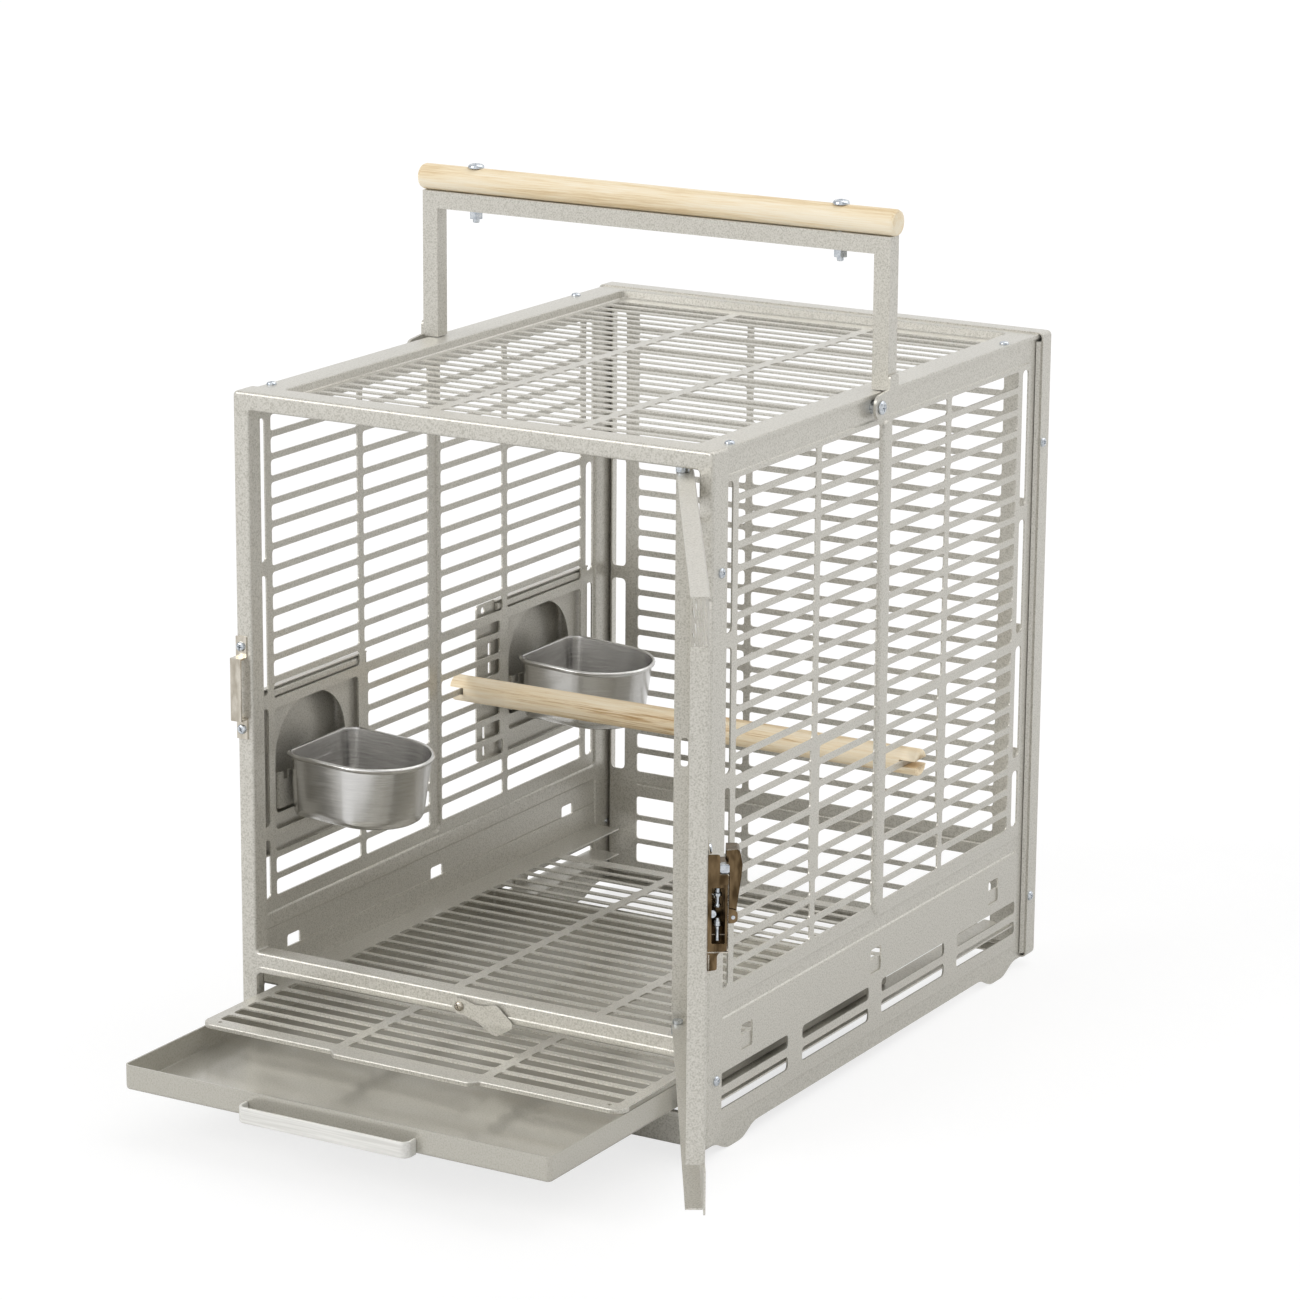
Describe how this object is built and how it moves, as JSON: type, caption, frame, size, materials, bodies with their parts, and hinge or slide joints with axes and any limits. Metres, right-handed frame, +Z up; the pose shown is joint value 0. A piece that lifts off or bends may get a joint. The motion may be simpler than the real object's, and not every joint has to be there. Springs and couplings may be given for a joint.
{
  "type": "bird transport cage",
  "caption": "Sheet-metal bird transport cage with slotted grille panels, swing door, pull-out grate and tray, outside-filled feeders, perch and folding wooden carrying handle.",
  "frame": {"origin": "on the floor, under the middle of the box round the whole object as it stands, door open and tray out", "axes": "+X to the cage's right seen from the door, +Y to its back, +Z up"},
  "size_m": [0.5723, 0.8073, 0.6285],
  "materials": {
    "powder_coat": "hammertone powder coat, light grey-beige",
    "zinc": "bright zinc plate",
    "nickel": "polished nickel plate",
    "stainless": "brushed stainless steel",
    "grip_wood": "sanded pine",
    "perch_wood": "sanded pine"
  },
  "bodies": {
    "cage": {"front_frame": "powder_coat", "left_side_panel": "powder_coat", "right_side_panel": "powder_coat", "back_panel": "powder_coat", "top_panel": "powder_coat", "left_runner": "powder_coat", "right_runner": "powder_coat", "frame_screws": "zinc", "back_screws": "zinc", "top_screws": "zinc", "door_hinge_screws": "zinc", "door_hinge_spacers": "zinc", "latch_keeper": "nickel", "keeper_screws": "zinc", "handle_pivot_screws": "zinc", "handle_pivot_spacers": "zinc", "handle_pivot_nuts": "zinc", "swivel_screw": "zinc", "feeder_plate_front": "powder_coat", "feeder_plate_rear": "powder_coat", "feeder_pin_front": "zinc", "feeder_pin_rear": "zinc", "cup_bracket_front": "powder_coat", "cup_bracket_rear": "powder_coat"},
    "door": {"door_panel": "powder_coat", "latch_body": "nickel", "latch_pin": "zinc", "latch_screws": "zinc"},
    "bolt": {"latch_bolt": "zinc"},
    "lever": {"latch_lever": "nickel"},
    "handle": {"handle_frame": "powder_coat", "handle_straps": "powder_coat", "handle_grip": "grip_wood", "grip_bolts": "zinc", "grip_nuts": "zinc"},
    "perch_bar": {"perch": "perch_wood"},
    "grate": {"floor_grate": "powder_coat"},
    "drawer": {"tray": "powder_coat", "tray_handle": "powder_coat"},
    "swivel": {"swivel_latch": "powder_coat"},
    "hood_front": {"feeder_hood_front": "powder_coat"},
    "hood_rear": {"feeder_hood_rear": "powder_coat"},
    "seed_cup_front": {"cup_front": "stainless"},
    "seed_cup_rear": {"cup_rear": "stainless"}
  },
  "joints": [
    {"name": "door_hinge", "type": "hinge", "parent": "cage", "child": "door", "pos_m": [0.088, -0.103, 0.2876], "axis": [0, 0, 1], "range_deg": [-121.5, 7]},
    {"name": "latch_lever_turn", "type": "hinge", "parent": "door", "child": "lever", "pos_m": [0.27706, -0.36597, 0.279], "axis": [-0.5225, 0.8526, 0], "range_deg": [0, 90]},
    {"name": "latch_bolt_slide", "type": "slide", "parent": "door", "child": "bolt", "axis": [0.5225, -0.8526, 0], "range_m": [0, 0.016]},
    {"name": "handle_fold", "type": "hinge", "parent": "cage", "child": "handle", "pos_m": [-0.078, 0.1229, 0.488], "axis": [1, 0, 0], "range_deg": [0, 90]},
    {"name": "tray_slide", "type": "slide", "parent": "cage", "child": "drawer", "axis": [0, 1, 0], "range_m": [-0.12, 0.1705]},
    {"name": "grate_slide", "type": "slide", "parent": "cage", "child": "grate", "axis": [0, 1, 0], "range_m": [-0.12, 0.087]},
    {"name": "swivel_turn", "type": "hinge", "parent": "cage", "child": "swivel", "pos_m": [-0.0836, -0.111, 0.0796], "axis": [0, 1, 0], "range_deg": [-8, 50]},
    {"name": "perch_slide", "type": "slide", "parent": "cage", "child": "perch_bar", "axis": [0, 1, 0], "range_m": [-0.025, 0.0085]},
    {"name": "hood_front_hinge", "type": "hinge", "parent": "cage", "child": "hood_front", "pos_m": [-0.276, -0.0158, 0.2717], "axis": [0, 1, 0], "range_deg": [0, 100]},
    {"name": "hood_rear_hinge", "type": "hinge", "parent": "cage", "child": "hood_rear", "pos_m": [-0.276, 0.2998, 0.2717], "axis": [0, 1, 0], "range_deg": [0, 100]},
    {"name": "cup_front_lift", "type": "slide", "parent": "cage", "child": "seed_cup_front", "axis": [0, 0, 1], "range_m": [0, 0.03]},
    {"name": "cup_rear_lift", "type": "slide", "parent": "cage", "child": "seed_cup_rear", "axis": [0, 0, 1], "range_m": [0, 0.03]}
  ],
  "couplings": [
    {"joint": "latch_bolt_slide", "follows": "latch_lever_turn", "m_per_rad": 0.010186}
  ]
}
